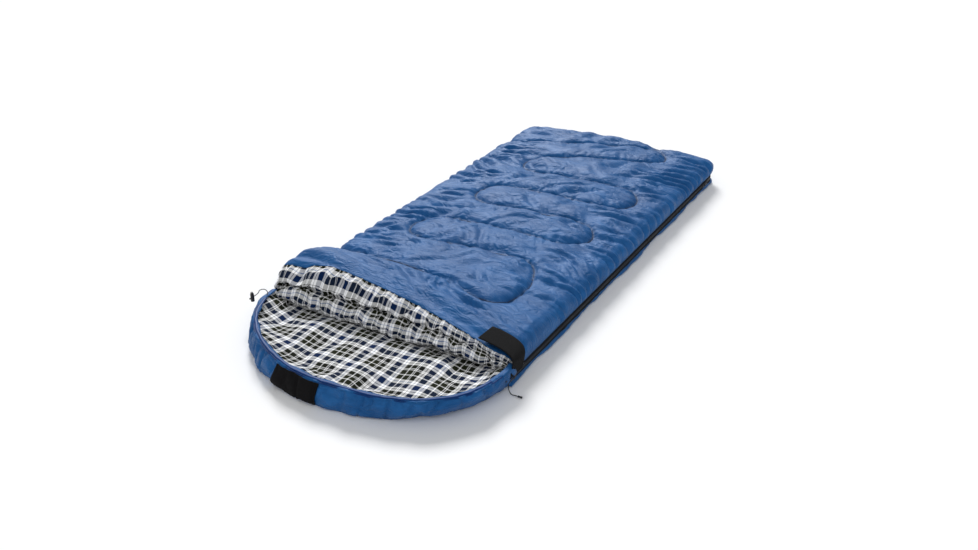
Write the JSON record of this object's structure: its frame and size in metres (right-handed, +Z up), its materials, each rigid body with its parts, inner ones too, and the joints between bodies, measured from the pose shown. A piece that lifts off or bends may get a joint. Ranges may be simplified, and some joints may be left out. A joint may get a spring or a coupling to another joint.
{
  "type": "sleeping bag",
  "caption": "Rectangular quilted sleeping bag with a half-round drawcord hood, plaid lining, side and foot zip, and a closing tab at the shoulder.",
  "frame": {"origin": "centre of the bag's outline, on the ground", "axes": "+X to the zip side, +Y from the head to the feet, +Z up"},
  "size_m": [1.0356, 2.29, 0.176],
  "materials": {
    "shell": "soft woven polyester, slight sheen",
    "lining": "brushed flannel, plaid in navy, olive and white",
    "filling": "hollow-fibre wadding",
    "zip_tape": "woven tape",
    "zip_teeth": "nylon coil",
    "zip_metal": "black enamel",
    "moulded": "moulded",
    "cord": "braided cord",
    "piping": "binding tape",
    "webbing": "close woven webbing",
    "fastening": "hook and loop",
    "eyelet": "plated"
  },
  "bodies": {
    "base": {"base_shell": "shell", "base_fill": "filling", "base_lining": "lining", "left_fold_gusset": "shell", "hang_loops": "webbing", "base_zip_tape": "zip_tape", "base_zip_chain": "zip_teeth", "base_zip_stop": "zip_teeth"},
    "quilt": {"quilt_shell": "shell", "quilt_fill": "filling", "left_hem_fill": "filling", "right_hem_fill": "filling", "foot_hem_fill": "filling", "quilt_lining": "lining", "head_roll_shell": "shell", "head_roll_fill": "filling", "head_roll_lining": "lining", "head_side_hems": "shell", "draft_collar": "lining", "draft_tube": "lining", "quilt_zip_tape": "zip_tape", "quilt_zip_chain": "zip_teeth", "quilt_zip_stop": "zip_teeth"},
    "tab": {"closing_tab": "webbing", "tab_hook_patch": "fastening"},
    "hood": {"hood_shell": "shell", "hood_fill": "filling", "hood_lining": "lining", "rim_shell": "shell", "rim_fill": "filling", "rim_lining": "lining", "rim_piping": "piping", "drawcord_tunnel": "piping", "hood_drawcord": "cord", "drawcord_eyelet": "eyelet", "hood_label": "webbing", "loop_patch": "fastening", "drawcord_tail": "cord", "drawcord_knot": "cord"},
    "cord_lock": {"cord_lock_barrel": "moulded", "cord_lock_spring": "eyelet"},
    "lock_button": {"cord_lock_button": "moulded"},
    "head_slider": {"head_slider_body": "zip_metal", "head_pull_pin": "zip_metal"},
    "head_pull": {"head_pull_tab": "zip_metal", "head_pull_cord": "cord", "pull_cord_grip": "moulded"},
    "foot_slider": {"foot_slider_body": "zip_metal", "foot_pull_pin": "zip_metal"},
    "foot_pull": {"foot_pull_tab": "zip_metal", "foot_pull_grip": "moulded"}
  },
  "joints": [
    {"name": "quilt_opening", "type": "hinge", "parent": "base", "child": "quilt", "pos_m": [-0.4825, 0.3, 0.085], "axis": [0, -1, 0], "range_deg": [0, 150]},
    {"name": "hood_fold", "type": "hinge", "parent": "base", "child": "hood", "pos_m": [0, -0.775, 0.04], "axis": [-1, 0, 0], "range_deg": [0, 30]},
    {"name": "tab_opening", "type": "hinge", "parent": "quilt", "child": "tab", "pos_m": [0.345, -0.7225, 0.1258], "axis": [0, -1, 0], "range_deg": [0, 140]},
    {"name": "head_slider_travel", "type": "slide", "parent": "base", "child": "head_slider", "axis": [0, 1, 0], "range_m": [0, 1.36]},
    {"name": "head_pull_swing", "type": "hinge", "parent": "head_slider", "child": "head_pull", "pos_m": [0.4756, -0.7656, 0.03], "axis": [0, 0, 1], "range_deg": [0, 120]},
    {"name": "foot_slider_travel", "type": "slide", "parent": "base", "child": "foot_slider", "axis": [0, 1, 0], "range_m": [-0.22, 0]},
    {"name": "foot_pull_swing", "type": "hinge", "parent": "foot_slider", "child": "foot_pull", "pos_m": [0.4756, 0.9926, 0.03], "axis": [0, 0, -1], "range_deg": [0, 150]},
    {"name": "cord_lock_travel", "type": "slide", "parent": "hood", "child": "cord_lock", "axis": [0, 1, 0], "range_m": [0, 0.015]},
    {"name": "lock_button_press", "type": "slide", "parent": "cord_lock", "child": "lock_button", "axis": [0, 0, -1], "range_m": [0, 0.003], "stiffness_N_per_m": 500, "springref_m": -0.004, "deforming": ["cord_lock_spring"]}
  ]
}
